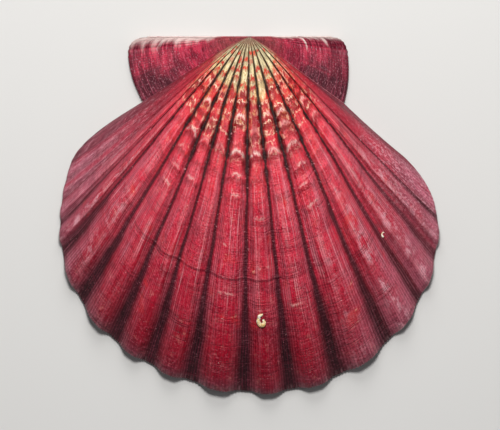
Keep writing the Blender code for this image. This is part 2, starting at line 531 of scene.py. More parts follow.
def grow(tree, given, net_place, edge):
    """Returns the place of every net point, in millimetres from the beak, and what it should know."""
    column, grown, _ = parts_of(net_place)
    to_whole = add_node(tree, "FunctionNodeFloatToInt", rounding_mode="ROUND")
    feed(to_whole.inputs[0], column)
    index = Term(to_whole.outputs[0])
    x, y, _ = read_points(tree, edge, index, "place")
    share, rib_place, lean = read_points(tree, edge, index, "rib")
    ear, wrap, ear_down = read_points(tree, edge, index, "ear")

    size = least(least(grown, 1.0), (2 - grown) / (1 - RIM_SHARE))
    hollow = least(most((grown - 1) / RIM_SHARE, 0.0), 1.0)
    outside = 1 - hollow
    rib = whole(rib_place)
    across = rib_place - rib
    from_groove = waved(across, rib, size, given["Groove wave"], given["Seed"])
    profile = rib_profile(from_groove, size)
    crown = 1 - given["Rib crown"] + given["Rib crown"] * sine(math.pi * across)
    raised = share * profile * crown

    wander_at = joined(rib_place * 0.45, size * 5.0, given["Seed"])
    free = smooth(share, 0.3, 0.9) * (1 - smooth(size, 0.85, 1.0))
    wander = (noise(wander_at, 1.0) - 0.5) * given["Rib wander"] * free * 2.0
    x, y = x - y * wander, y + x * wander

    from_beak = (x * x + y * y) ** 0.5
    rim_bulge = sine(math.pi * hollow) * 0.18
    thread = cosine(column * (math.pi / 2))
    chips = noise(joined(column * 0.035, given["Seed"], 2.0), 1.0, 4.0, 0.7) - 0.5
    at_rim = smooth(size, 0.955, 1.0) * (1 - smooth(wrap, 0.0, 0.2))
    nicks = noise(joined(column * 0.11, given["Seed"], 6.0), 1.0, 2.0, 0.6) - 0.5
    worn_away = given["Rim chips"] * least(chips + 0.06, 0.0) * 2.0
    worn_away = worn_away + given["Shoulder chips"] * least(nicks + 0.03, 0.0) * lean
    ragged_rim = (given["Rim teeth"] * thread + worn_away) * at_rim
    spread = 1 + (given["Rib reach"] * raised + rim_bulge + ragged_rim) / from_beak
    turn = given["Turn at beak"] * (1 - size ** given["Turn power"])
    turn = turn * between(hollow, 1.0, smooth(size, 0.0, 0.16))
    flat_y = y * spread * size
    across_x = x * spread * size
    across_x = across_x * (1 - 0.12 * lean * (1 - smooth(size, 0.75, 1.0)) * hollow)
    down_y = flat_y * cosine(turn)
    height = -1.0 * flat_y * sine(turn)

    near_hinge = 1 - smooth(-1.0 * down_y, 0.0, given["Hinge plate width"])
    wall = between(smooth(size, 0.0, 1.0), given["Wall at hinge"], given["Wall at edge"])
    wall = most(wall, given["Wall at hinge"] * near_hinge)
    ribbed = given["Rib height"] * raised * size ** given["Rib fade power"]

    on_disc = 1 - smooth(ear, 0.4, 0.6)
    crest_calm = 1 - 0.55 * profile
    disc_thread = given["Thread height"] * smooth(size, 0.48, 0.72) * on_disc * crest_calm
    ear_thread = given["Ear thread height"] * smooth(size, 0.5, 0.65) * (1 - on_disc)
    threads = thread * (disc_thread + ear_thread) * (1 - smooth(wrap, 0.0, 0.2))

    steps = sum(ledge(size, at, given["Rest line depth"]) for at in REST_LINES)
    bold = smooth(share, BOLD_SHARE - 0.01, BOLD_SHARE + 0.01)
    swellings = sum(bump_at(size, at, 0.03) for at in SWELLINGS)
    swollen = given["Swelling height"] * swellings * bold * profile
    knob_zone = smooth(size, 0.14, 0.24) * (1 - smooth(size, 0.42, 0.62)) * share * profile
    knob = noise(joined(rib * 5.0, size * 32.0, given["Seed"] + 4.0), 1.0) - 0.5
    swollen = swollen + given["Knob height"] * knob * knob_zone * 2.0
    rough_at = joined(across_x, down_y, size * 20.0 + given["Seed"])
    rough = (noise(rough_at, 0.55, 3.0) - 0.5) * given["Roughness of growth"] * smooth(size, 0.1, 0.4)
    relief = (threads + steps + swollen + rough) * outside * (1 - wrap)

    outer_z = height + ribbed + wall + relief
    shown = smooth(size, 0.25, 1.0)
    plate = given["Hinge plate depth"] * near_hinge
    inner_z = most(height + ribbed * shown - plate, 0.0)
    z = between(hollow, outer_z, inner_z)

    wrap_angle = wrap * (math.pi / 2)
    z = between(1 - cosine(wrap_angle), z, given["Wall at hinge"] / 2)
    down_y = down_y + sine(wrap_angle) * 0.25
    place = joined(across_x, down_y, z)
    known = {
        "growth": size,
        "rib_place": rib_place,
        "from_groove": from_groove,
        "rib_share": share,
        "thread": column / 4,
        "hollow": hollow,
        "ear": ear,
        "ear_down": ear_down,
    }
    return place, known


# %% Build the tree


def growing_tree(outside_finish, ear_finish, hollow_finish, origin):
    tree = bpy.data.node_groups.new("Grow the shell", "GeometryNodeTree")
    tree.interface.new_socket("Net", in_out="INPUT", socket_type="NodeSocketGeometry")
    tree.interface.new_socket("Edge", in_out="INPUT", socket_type="NodeSocketObject")
    for name, value in GROWING_SIZES.items():
        socket = tree.interface.new_socket(name, in_out="INPUT", socket_type="NodeSocketFloat")
        socket.default_value = value
    tree.interface.new_socket("Shell", in_out="OUTPUT", socket_type="NodeSocketGeometry")
    start = add_node(tree, "NodeGroupInput")
    given = {name: Term(start.outputs[name]) for name in GROWING_SIZES}

    edge = add_node(tree, "GeometryNodeObjectInfo", transform_space="ORIGINAL")
    tree.links.new(start.outputs["Edge"], edge.inputs["Object"])
    net_place = Term(add_node(tree, "GeometryNodeInputPosition").outputs[0])
    place, known = grow(tree, given, net_place, Term(edge.outputs["Geometry"]))

    # Every value is stored before the points move, because all of them are read from the flat net.
    shape = start.outputs["Net"]
    for name, value in (*known.items(), ("grown_place", place)):
        kind = "FLOAT_VECTOR" if name == "grown_place" else "FLOAT"
        store = add_node(tree, "GeometryNodeStoreNamedAttribute", data_type=kind, domain="POINT")
        tree.links.new(shape, store.inputs["Geometry"])
        store.inputs["Name"].default_value = name
        feed(store.inputs["Value"], value)
        shape = store.outputs[0]

    def stored(name, kind="FLOAT"):
        read = add_node(tree, "GeometryNodeInputNamedAttribute", data_type=kind)
        read.inputs["Name"].default_value = name
        return Term(read.outputs[0])

    to_metres = add_node(tree, "ShaderNodeVectorMath", operation="MULTIPLY_ADD")
    feed(to_metres.inputs[0], stored("grown_place", "FLOAT_VECTOR"))
    to_metres.inputs[1].default_value = (MM, MM, MM)
    to_metres.inputs[2].default_value = origin
    move = add_node(tree, "GeometryNodeSetPosition")
    tree.links.new(shape, move.inputs["Geometry"])
    tree.links.new(to_metres.outputs[0], move.inputs["Position"])
    weld = add_node(tree, "GeometryNodeMergeByDistance")
    tree.links.new(move.outputs[0], weld.inputs["Geometry"])
    weld.inputs["Distance"].default_value = 0.000001
    smooth_shade = add_node(tree, "GeometryNodeSetShadeSmooth")
    tree.links.new(weld.outputs[0], smooth_shade.inputs["Geometry"])
    real = add_node(tree, "GeometryNodeRealizeInstances")
    tree.links.new(smooth_shade.outputs[0], real.inputs["Geometry"])

    shape = real.outputs[0]
    in_hollow = stored("hollow").math("GREATER_THAN", stored("hollow"), 0.5)
    on_ear = stored("ear").math("GREATER_THAN", stored("ear"), 0.5)
    for finish, where in ((outside_finish, None), (ear_finish, on_ear), (hollow_finish, in_hollow)):
        paint = add_node(tree, "GeometryNodeSetMaterial")
        tree.links.new(shape, paint.inputs["Geometry"])
        paint.inputs["Material"].default_value = finish
        if where is not None:
            feed(paint.inputs["Selection"], where)
        shape = paint.outputs[0]
    finish_node = add_node(tree, "NodeGroupOutput")
    tree.links.new(shape, finish_node.inputs[0])
    return tree


# %% Run the tree and keep a plain mesh


def socket_id(tree, name):
    return next(item.identifier for item in tree.interface.items_tree if item.name == name)


def plain_mesh(obj, name):
    """The object's finished mesh as a new object with nothing left to work out."""
    graph = bpy.context.evaluated_depsgraph_get()
    mesh = bpy.data.meshes.new_from_object(
        obj.evaluated_get(graph), preserve_all_data_layers=True, depsgraph=graph
    )
    mesh.name = name
    made = bpy.data.objects.new(name, mesh)
    bpy.context.scene.collection.objects.link(made)
    return made


def grow_shell(outside_finish, ear_finish, hollow_finish):
    origin = (-shell_middle_x(), high[1], 0.0)
    tree = growing_tree(outside_finish, ear_finish, hollow_finish, origin)
    modifier = net.modifiers.new("Grow", "NODES")
    modifier.node_group = tree
    modifier[socket_id(tree, "Edge")] = growing_edge
    for name, value in GROWING_SIZES.items():
        modifier[socket_id(tree, name)] = value
    shell = plain_mesh(net, "shell_skin")
    bpy.data.objects.remove(net, do_unlink=True)
    return shell


def shell_middle_x():
    """How far right of the beak the middle of the shell lies, in metres."""
    reaches = []
    for x, y, share, rib_place, *_ in edge_points:
        across = rib_place % 1
        side = eased(min(across, 1 - across), 0.10, 0.30)
        raised = share * side * (0.78 + 0.22 * math.sin(math.pi * across))
        reaches.append(x * (1 + GROWING_SIZES["Rib reach"] * raised / math.hypot(x, y)))
    return (min(reaches) + max(reaches)) / 2 * MM


# %% [markdown]
# ## Colours by node
# Every colour on this shell was laid down by its growing edge, so the finishes read the same numbers
# that shaped it: how far it had grown, which rib, how far across that rib. A few helpers turn those
# numbers into colours. Colours are written as they look on a screen, from 0 to 255.

# %% Colour helpers


def tone(red, green, blue):
    """A colour as seen on a screen, as Blender's own linear numbers."""
    return (*((value / 255) ** 2.2 for value in (red, green, blue)), 1.0)


def blend(share, first, second):
    """The first colour where share is 0, and the second where it is 1."""
    node = add_node(share.tree, "ShaderNodeMix", data_type="RGBA")
    for index, value in ((0, share), (6, first), (7, second)):
        feed(node.inputs[index], value)
    return Term(node.outputs[2])


def ramp(value, stops, stepped=False):
    """Colours or greys along a number from 0 to 1."""
    node = add_node(value.tree, "ShaderNodeValToRGB")
    node.color_ramp.interpolation = "CONSTANT" if stepped else "LINEAR"
    elements = node.color_ramp.elements
    elements[0].position, elements[-1].position = stops[0][0], stops[-1][0]
    for place, _ in stops[1:-1]:
        elements.new(place)
    for element, (_, colour) in zip(elements, stops):
        element.color = colour if isinstance(colour, tuple) else (colour, colour, colour, 1.0)
    feed(node.inputs[0], value)
    return Term(node.outputs[0])


def attribute(tree, name):
    """A number that the skin carries at every point."""
    node = add_node(tree, "ShaderNodeAttribute", attribute_name=name)
    return Term(node.outputs["Fac"])


def millimetres(tree):
    """Each point's own place on the object, in millimetres."""
    place = Term(add_node(tree, "ShaderNodeTexCoord").outputs["Object"])
    node = add_node(tree, "ShaderNodeVectorMath", operation="SCALE")
    feed(node.inputs[0], place)
    node.inputs["Scale"].default_value = 1000.0
    return Term(node.outputs[0])


# %% [markdown]
# ## Effects that the finishes share
# The ribbed side, the ears and the hollow side all show lines of growth, and two of them show the
# fine threads. Each such effect is a node group, built once. Its inputs are set anew in every
# finish, so the same lines can be dense and sharp on the ears and faint inside.

# %% Shader groups


def shader_group(name, inputs, outputs, build):
    tree = bpy.data.node_groups.new(name, "ShaderNodeTree")
    for direction, sockets in (("INPUT", inputs), ("OUTPUT", outputs)):
        for label, kind in sockets.items():
            tree.interface.new_socket(label, in_out=direction, socket_type="NodeSocket" + kind)
    start, end = add_node(tree, "NodeGroupInput"), add_node(tree, "NodeGroupOutput")
    made = build({label: Term(start.outputs[label]) for label in inputs})
    for label in outputs:
        feed(end.inputs[label], made[label])
    return tree


def use_group(tree, group, **given):
    node = add_node(tree, "ShaderNodeGroup", node_tree=group)
    for name, value in given.items():
        feed(node.inputs[name.capitalize()], value)
    return {socket.name: Term(socket) for socket in node.outputs}


def lines_of_growth(given):
    """Fine lines along the edge of every age, and the dark lines where growth once rested."""
    size, around = given["Growth"], given["Around"]
    waver = noise(joined(around * 2.2, size * 14.0, 1.0), 1.0) - 0.5
    fine = noise(joined(around * 0.35, (size + waver * 0.012) * given["Count"], 5.0), 1.0, 2.0, 0.7)
    clear = smooth(noise(joined(around * 1.3, size * 22.0, 6.0), 1.0), 0.36, 0.66)
    wavering = size + waver * 0.008
    rests = [1 - smooth(abs(wavering - at), 0.0010, 0.0055) for at in REST_LINES]
    near_middle = 1 - 0.9 * smooth(abs(around - 8.2), 1.8, 3.8)
    kept = smooth(noise(joined(around * 0.9, 3.0, 3.0), 1.0, 3.0), 0.32, 0.50) * near_middle
    return {"Line": smooth(fine, 0.44, 0.64) * clear, "Rest": kept * (rests[0] + 0.3 * rests[1])}


def fine_threads(given):
    """1 along the top of each fine thread and 0 between two of them."""
    number = whole(given["Thread"] + 0.5)
    top = cosine(given["Thread"] * (2 * math.pi)) * 0.5 + 0.5
    along = noise(joined(number * 3.7, given["Growth"] * 9.0, 3.0), 1.0, 2.0)
    return {"Top": top, "Chance": smooth(along, 0.34, 0.66)}


def fine_specks(given):
    """Small spots at random, for pitting, for grains of chalk and for painted glints."""
    spots = noise(given["Place"], given["Fineness"], 3.0, 0.6)
    return {"Spots": smooth(spots, 1 - given["Amount"], 1.08 - given["Amount"])}


LINES = shader_group(
    "Lines of growth",
    {"Growth": "Float", "Around": "Float", "Count": "Float"},
    {"Line": "Float", "Rest": "Float"},
    lines_of_growth,
)
THREADS = shader_group(
    "Fine threads",
    {"Thread": "Float", "Growth": "Float"},
    {"Top": "Float", "Chance": "Float"},
    fine_threads,
)
SPECKS = shader_group(
    "Fine specks",
    {"Place": "Vector", "Fineness": "Float", "Amount": "Float"},
    {"Spots": "Float"},
    fine_specks,
)
print("Shared effects:", [group.name for group in (LINES, THREADS, SPECKS)])

# %% [markdown]
# ## The ribbed side
# The ribs are crimson and the grooves nearly black, partly dark pigment and partly painted
# shadow. The youngest part, at the beak, is cream and olive with orange-red tiles on the ribs.
# At some sizes the animal paused, and each rib may carry a pale arch there with deeper red below
# it. The threads beside the grooves are worn to a greyish pink; on the outer side of each rib
# that grey is partly a painted sheen of grazing light. The same grey covers the smooth flanks.
# Pale streaks and blotches on the crests are partly wear and partly painted highlights, and the
# crests darken towards the edge partly by painted shade. All of it is a rule on growth and rib,
# with a chance for each rib, so no two ribs are alike.

# %% The ribbed side's colours by growth
# Towards the edge the crests darken: partly deeper crimson, partly painted shade of the slope that
# turns away from the light.
CREST_TONES = (
    (0.00, tone(125, 92, 66)),
    (0.05, tone(160, 120, 92)),
    (0.14, tone(186, 92, 66)),
    (0.19, tone(200, 62, 52)),
    (0.27, tone(200, 44, 50)),
    (0.45, tone(222, 42, 64)),
    (0.62, tone(219, 40, 66)),
    (0.76, tone(196, 30, 56)),
    (0.90, tone(166, 20, 43)),
    (0.955, tone(142, 26, 44)),
    (0.985, tone(116, 48, 60)),
    (1.00, tone(120, 74, 82)),
)
# The grooves' tones are partly dark pigment and partly painted shadow.
GROOVE_TONES = (
    (0.00, tone(96, 66, 46)),
    (0.04, tone(74, 52, 34)),
    (0.12, tone(54, 36, 22)),
    (0.20, tone(30, 12, 9)),
    (0.38, tone(34, 4, 8)),
    (0.55, tone(74, 10, 24)),
    (0.75, tone(56, 10, 22)),
    (0.90, tone(26, 5, 11)),
    (1.00, tone(46, 24, 28)),
)
BEAK_TONES = (
    (0.00, tone(132, 94, 70)),
    (0.035, tone(150, 112, 86)),
    (0.06, tone(162, 146, 108)),
    (0.10, tone(206, 190, 146)),
    (0.15, tone(226, 200, 146)),
    (0.19, tone(232, 188, 132)),
    (0.22, tone(234, 176, 122)),
)
PAUSES = (0.258, 0.295, 0.356, 0.415, 0.470, 0.527, 0.603, 0.655, 0.730, 0.767)
OLDER_FROM = 0.40
# The ribs and pauses with the boldest marks, each with its strength.
BOLD_MARKS = (
    (5, 0.258, 0.9), (8, 0.258, 1.0),
    (5, 0.356, 0.9), (6, 0.356, 0.6), (7, 0.356, 0.7), (8, 0.356, 1.0), (9, 0.356, 0.9),
    (10, 0.356, 0.8), (11, 0.356, 0.9), (13, 0.356, 0.5),
    (4, 0.415, 0.5), (8, 0.415, 0.9), (11, 0.415, 0.9),
    (5, 0.470, 0.8), (8, 0.470, 0.85), (11, 0.470, 0.85),
    (5, 0.527, 1.0), (11, 0.527, 1.0),
    (8, 0.603, 0.6), (9, 0.603, 0.4), (8, 0.730, 1.0),
)
GREY_PINK = tone(190, 116, 130)
MAUVE = tone(194, 124, 138)
CHALK = tone(238, 206, 194)

# %% Marks that follow the rule


def pause_marks(size, rib, across, spread):
    """The pale arch and the deep red below it at each pause, and a chance for each of them."""
    off_middle = (across - 0.5) * 2
    ragged = noise(joined((rib + across) * 9.0, size * 30.0, 2.0), 1.0, 3.0) - 0.5
    late = dice(joined(rib, 4.0, 4.0)) * 0.010
    arch = 0.034 * (1 - smooth(size, 0.36, 0.5))
    arched = size - arch * off_middle * off_middle + ragged * 0.022 - late
    pale_stops, deep_stops = [(0.0, 0.0)], [(0.0, 0.0)]
    for at in PAUSES:
        rise = 0.013 if at < OLDER_FROM else 0.007
        pale_stops += [(at - rise, 0.0), (at - rise / 3, 1.0), (at + 0.003, 0.0)]
        deep_stops += [(at + 0.002, 0.0), (at + 0.008, 1.0), (at + 0.030, 0.0)]
    number_stops = [(0.0, 0.0)]
    for number, (this, following) in enumerate(zip(PAUSES, PAUSES[1:]), start=1):
        number_stops.append(((this + following) / 2, number / 20))
    number = whole(ramp(arched, number_stops, stepped=True) * 20.0 + 0.5)
    chance = dice(joined(rib, number, spread))
    for marked_rib, at, strength in BOLD_MARKS:
        bold = bump_at(rib, float(marked_rib), 0.9) * bump_at(number, float(PAUSES.index(at)), 0.9)
        chance = most(chance, bold * strength)
    return ramp(arched, pale_stops), ramp(arched, deep_stops), chance


def scales(size, rib, across, mottle):
    """The rows of scales on the younger ribs: the row's lot, and how far along the scale it is."""
    off_middle = (across - 0.5) * 2
    late = dice(joined(rib, 2.0, 2.0)) * 0.8 + 0.42 * off_middle * off_middle
    along = size * 36.0 - late + (mottle - 0.5) * 2.2
    row = whole(along)
    return dice(joined(rib, row, 9.0)), along - row


# %% The pigment of the crests


def outward_share(place, across):
    """0 at the side of a rib that faces the middle of the shell, and 1 at its outer side."""
    right = smooth(place, 7.2, 9.8)
    return between(right, 1 - across, across)


def crest_colour(size, place, rib, across, from_groove, on_crest):
    """Crimson that changes a little with every rib and season, with its pale and deep marks."""
    season = noise(joined(place * 1.1, size * 11.0, 2.0), 1.0, 3.0) - 0.5
    lot = dice(joined(rib, 5.0, 1.0)) - 0.5
    colour = ramp(size + season * 0.05, CREST_TONES)
    colour = blend(smooth(season + lot * 0.2, 0.0, 0.2) * 0.55, colour, tone(128, 10, 32))
    bright = smooth(0.0 - season, 0.02, 0.2) * smooth(size, 0.2, 0.3) * (1 - smooth(size, 0.6, 0.85))
    colour = blend(bright * 0.5, colour, tone(222, 54, 56))

    # Mottling, drawn out along the growth.
    mottle = noise(joined(place * 5.0, size * 34.0, 7.0), 1.0, 4.0, 0.7)
    colour = blend(smooth(mottle, 0.52, 0.66) * 0.62, colour, tone(128, 10, 32))
    young = 1 - smooth(size, 0.40, 0.62)
    flames = smooth(mottle, 0.30, 0.44)
    colour = blend((1 - flames) * on_crest * between(young, 0.35, 0.7), colour, tone(232, 138, 130))

    # Streaks along the growth, partly where the top layer is worn and partly painted highlights on
    # the rib shoulders. The boldest, a painted highlight, runs beside the middle.
    streak = noise(joined(place * 11.0, size * 5.0, 4.0), 1.0, 4.0, 0.7)
    outward = outward_share(place, across)
    shoulder = smooth(from_groove, 0.08, 0.16) * (1 - 0.5 * smooth(from_groove, 0.3, 0.45))
    worn_and_highlight = smooth(streak, 0.46, 0.62) * shoulder * smooth(size, 0.22, 0.4)
    far_out = smooth(abs(place - 8.5), 2.0, 5.5)
    worn_and_highlight = worn_and_highlight * (1 - 0.75 * smooth(size, 0.70, 0.92) * (1 - far_out))
    colour = blend(worn_and_highlight * 0.56, colour, tone(228, 118, 132))
    painted_gleam = bump_at(outward + (streak - 0.5) * 0.12, 0.40, 0.13) * smooth(size, 0.34, 0.55)
    painted_gleam = painted_gleam * between(far_out, 0.35, 1.0) * (1 - smooth(size, 0.62, 0.85) * (1 - far_out))
    painted_gleam = painted_gleam * smooth(noise(joined(rib * 3.0, size * 13.0, 8.0), 1.0, 3.0), 0.36, 0.60)
    colour = blend(painted_gleam * on_crest * smooth(streak, 0.36, 0.52) * 0.7, colour, tone(234, 164, 166))

    # Pale arches with deep red below them.
    pale, deep, chance = pause_marks(size, rib, across, 1.0)
    strong = deep * on_crest * between(young, 0.15, 0.9) * smooth(chance, 0.2, 0.8)
    colour = blend(strong, colour, tone(124, 6, 22))
    broken = smooth(mottle, between(young, 0.58, 0.64), between(young, 0.44, 0.52))
    marked = smooth(chance, between(young, 0.86, 0.52), 1.0) * between(young, 0.6, 1.0)
    middle = dice(joined(rib, chance * 40.0, 6.0)) * 0.3 + 0.32
    short = between(smooth(size, 0.375, 0.40), 1.0, 1 - smooth(abs(across - middle), 0.10, 0.26))
    return blend(pale * marked * broken * on_crest * short, colour, CHALK)


def beak_colour(colour, size, place, rib, across, from_groove, on_crest):
    """Cream and olive over the youngest part, with tiles and ticks of orange red."""
    reach = noise(joined(place * 1.3, 1.0, 8.0), 1.0) * 0.11 + 0.140
    reach = reach + 0.03 * bump_at(place, 9.9, 1.3) - 0.05 * smooth(place, 11.0, 13.0)
    mottle = noise(joined(place * 6.0, size * 60.0, 3.0), 1.0, 3.0, 0.65)
    beak = 1 - smooth(size + (mottle - 0.5) * 0.03, reach - 0.012, reach + 0.008)
    cream = ramp(size, BEAK_TONES)
    olive = smooth(noise(joined(place * 3.0, size * 26.0, 1.0), 1.0), 0.42, 0.60)
    cream = blend(olive * 0.55, cream, tone(128, 118, 88))
    cream = blend(smooth(mottle, 0.55, 0.67) * 0.65, cream, tone(120, 66, 42))
    cream = blend(smooth(mottle, 0.46, 0.36) * 0.6, cream, tone(246, 230, 202))

    # Scales in rows: a pale arch, then a patch of orange red, then a thin brown end.
    waver = noise(joined(place * 3.0, size * 40.0, 6.0), 1.0, 3.0, 0.7)
    chance, along = scales(size, rib, across, waver)
    patch = smooth(along, 0.16, 0.34) * (1 - smooth(along, 0.72, 0.92))
    tiled = smooth(chance + abs(rib - 8.6) * 0.03, 0.54, 0.64) * smooth(size, 0.062, 0.07) * on_crest
    tile_colour = blend(dice(joined(rib, chance * 90.0, 1.0)), tone(206, 64, 38), tone(164, 30, 28))
    cream = blend(tiled * patch * smooth(mottle, 0.68, 0.50), cream, tile_colour)
    ends = smooth(along, 0.80, 0.92) * (1 - smooth(along, 0.96, 1.0)) * smooth(chance, 0.1, 0.4)
    cream = blend(ends * 0.55 * on_crest, cream, tone(92, 46, 28))
    colour = blend(beak, colour, cream)

    stain = smooth(noise(joined(place * 2.0, size * 30.0, 11.0), 1.0, 4.0, 0.75), 0.52, 0.64)
    stain = stain * (1 - smooth(size, 0.25, 0.36)) * (1 - beak)
    colour = blend(stain * 0.7, colour, tone(206, 140, 92))
    young = (1 - smooth(size, 0.27, 0.43)) * (1 - beak) * on_crest
    lot = dice(joined(rib, chance * 50.0, 3.0))
    colour = blend(patch * young * smooth(lot, 0.30, 0.70) * 0.9, colour, tone(128, 6, 16))
    arch = smooth(along, 0.0, 0.08) * (1 - smooth(along, 0.16, 0.36)) * smooth(mottle, 0.58, 0.44)
    colour = blend(arch * young * smooth(chance, 0.40, 0.60), colour, tone(246, 204, 172))
    number = dice(joined(rib, whole(size * 62.0 + place * 0.7), 4.0))
    ticks = smooth(number, 0.62, 0.70) * (1 - smooth(size, 0.31, 0.40)) * (1 - beak)
    ticks = ticks * smooth(from_groove, 0.1, 0.16) * (1 - smooth(from_groove, 0.22, 0.34))
    return blend(ticks * 0.8 * smooth(mottle, 0.6, 0.45), colour, tone(236, 172, 146))


# %% The ribbed side's finish


def paint_ribs(tree):
    size, place = attribute(tree, "growth"), attribute(tree, "rib_place")
    share, thread = attribute(tree, "rib_share"), attribute(tree, "thread")
    from_groove = attribute(tree, "from_groove")
    here = millimetres(tree)
    rib = whole(place + 0.002)
    across = place - rib
    lines = use_group(tree, LINES, growth=size, around=place, count=190.0)
    threads = use_group(tree, THREADS, thread=thread, growth=size)
    flank = 1 - smooth(share, 0.22, 0.6)
    on_crest = smooth(from_groove, 0.08, 0.2) * smooth(share, 0.30, 0.5)

    colour = crest_colour(size, place, rib, across, from_groove, on_crest)
    colour = beak_colour(colour, size, place, rib, across, from_groove, on_crest)

    # Greyish threads beside the grooves and over the flanks. On the outer side of each rib the grey
    # is partly a painted sheen of grazing light.
    patches = noise(joined(place * 1.6, size * 7.0, 9.0), 1.0, 3.0)
    outward = outward_share(place, across)
    beside = smooth(from_groove, 0.05, 0.11) * (1 - smooth(from_groove, 0.16, 0.30))
    # Painted sheen: grey on the outer side of each rib, where grazing light would shine.
    outer_side_sheen = smooth(outward, 0.50, 0.68) * smooth(from_groove, 0.06, 0.12)
    beside = most(beside * 0.7, outer_side_sheen * between(smooth(abs(place - 8.5), 1.0, 4.5), 0.35, 1.0))
    grey = beside * smooth(size, 0.30, 0.55) * between(smooth(patches, 0.35, 0.6), 0.45, 1.0)
    grey = grey * (1 - 0.6 * smooth(size, 0.75, 0.95) * smooth(abs(place - 8.5), 4.5, 1.5))
    # The right flank greys later than the left one.
    worn_size = size - 0.13 * smooth(place, 12.0, 14.0)
    grey = most(grey, flank * smooth(worn_size, 0.40, 0.80) * 0.9)
    to_the_side = most(smooth(place, 12.6, 15.0), smooth(place, 3.4, 1.5)) * smooth(size, 0.42, 0.75)
    grey = most(grey, to_the_side * smooth(patches, 0.30, 0.62) * 0.75)
    grey = grey * between(threads["Top"], 0.30, 1.0) * between(threads["Chance"], 0.35, 1.0)
    colour = blend(grey * 0.9, colour, GREY_PINK)
    mauve = flank * smooth(worn_size, 0.5, 0.9) * between(patches, 0.2, 0.9)
    colour = blend(mauve, colour, MAUVE)

    to_the_side_ribs = smooth(abs(place - 7.9), 2.6, 5.6)
    edge_wear = to_the_side_ribs * smooth(size, 0.74, 0.92) * smooth(from_groove, 0.05, 0.16)
    edge_wear = edge_wear * between(smooth(patches, 0.34, 0.60), 0.35, 1.0)
    colour = blend(edge_wear * 0.75, colour, tone(204, 110, 130))
    # Pale pink blotches on the outer half of the side ribs' crests: partly chalky wear, partly
    # painted highlight.
    chalk_and_highlight = noise(joined(place * 4.5, size * 19.0, 16.0), 1.0, 4.0, 0.75)
    chalk_and_highlight = smooth(chalk_and_highlight, 0.48, 0.60) * bump_at(outward, 0.45, 0.30) * smooth(size, 0.48, 0.66)
    chalk_and_highlight = chalk_and_highlight * smooth(abs(place - 8.2), 2.2, 4.8) * smooth(share, 0.3, 0.6)
    colour = blend(chalk_and_highlight * 0.8, colour, tone(230, 166, 176))
    shade = most(smooth(place, 3.0, 1.6), smooth(place, 13.9, 15.4)) * (1 - smooth(size, 0.50, 0.74))
    colour = blend(shade * 0.78, colour, tone(138, 22, 42))

    # Single threads worn pale along the ribs.
    number = whole(thread + 0.5)
    struck = smooth(noise(joined(number * 2.3, size * 5.0, 19.0), 1.0, 2.0), 0.54, 0.68)
    struck = struck * threads["Top"] * on_crest
    struck = struck * smooth(size, 0.32, 0.48) * (1 - smooth(size, 0.68, 0.90))
    colour = blend(struck * 0.6, colour, tone(240, 164, 170))

    # Dark gaps between the threads, everywhere that the shell is wide.
    gaps = (1 - threads["Top"]) * smooth(size, 0.40, 0.70) * between(threads["Chance"], 0.25, 0.7)
    colour = blend(gaps * 0.62, colour, tone(84, 12, 32))

    # Grooves: slits near the beak, troughs near the edge. Their near-black is partly dark pigment
    # and partly painted shadow.
    ragged = (noise(joined(thread * 0.8, size * 16.0, 5.0), 1.0, 3.0) - 0.5) * 0.10
    ragged = ragged * between(smooth(share, 0.70, 0.92), 0.25, 1.0)
    slit = 1 - smooth(size, 0.10, 0.24)
    wide = smooth(size, 0.66, 0.95) * (1 - 0.5 * smooth(place, 11.0, 13.0))
    start = 0.022 + 0.03 * wide + 0.035 * slit
    # Painted shadow: wide black gaps between the young middle ribs.
    gaping_shadow = smooth(noise(joined(whole(place + 0.5) * 4.0, size * 16.0, 6.0), 1.0, 3.0), 0.36, 0.60)
    gaping_shadow = gaping_shadow * smooth(size, 0.12, 0.20) * (1 - smooth(size, 0.36, 0.50))
    gaping_shadow = gaping_shadow * (1 - smooth(abs(place - 8.3), 2.0, 5.0))
    end = 0.126 + 0.174 * wide + 0.124 * slit + 0.22 * gaping_shadow
    # Painted shade: on the right-hand ribs the groove's dark reaches further up each rib's outer
    # side.
    leaning_shade = 0.032 * smooth(place, 7.5, 10.5) * smooth(size, 0.4, 0.6)
    leaning_shade = leaning_shade * (1 - 2 * smooth(across, 0.4, 0.6))
    knobby = noise(joined(place * 4.0, size * 52.0, 21.0), 1.0, 2.0) - 0.5
    knobby = knobby * 0.22 * smooth(size, 0.08, 0.16) * (1 - smooth(size, 0.36, 0.50))
    groove = 1 - smooth(from_groove + ragged * size + knobby + leaning_shade, start, end)
    groove = groove * between(flank, 1.0, 0.35)
    groove = groove * (1 - 0.12 * to_the_side_ribs * smooth(size, 0.55, 0.80))
    groove_colour = ramp(size, GROOVE_TONES)
    lit_thread = threads["Top"] * smooth(size, 0.40, 0.70) * between(threads["Chance"], 0.1, 0.6)
    lit_thread = lit_thread * (1 - 0.6 * smooth(place, 9.0, 11.0))
    groove_colour = blend(lit_thread, groove_colour, tone(112, 40, 58))
    stringy = threads["Top"] * threads["Chance"] * to_the_side_ribs * smooth(size, 0.50, 0.80)
    stringy = stringy * between(smooth(place, 7.0, 9.0), 0.55, 0.25)
    groove_colour = blend(stringy, groove_colour, tone(196, 118, 132))
    colour = blend(groove, colour, groove_colour)

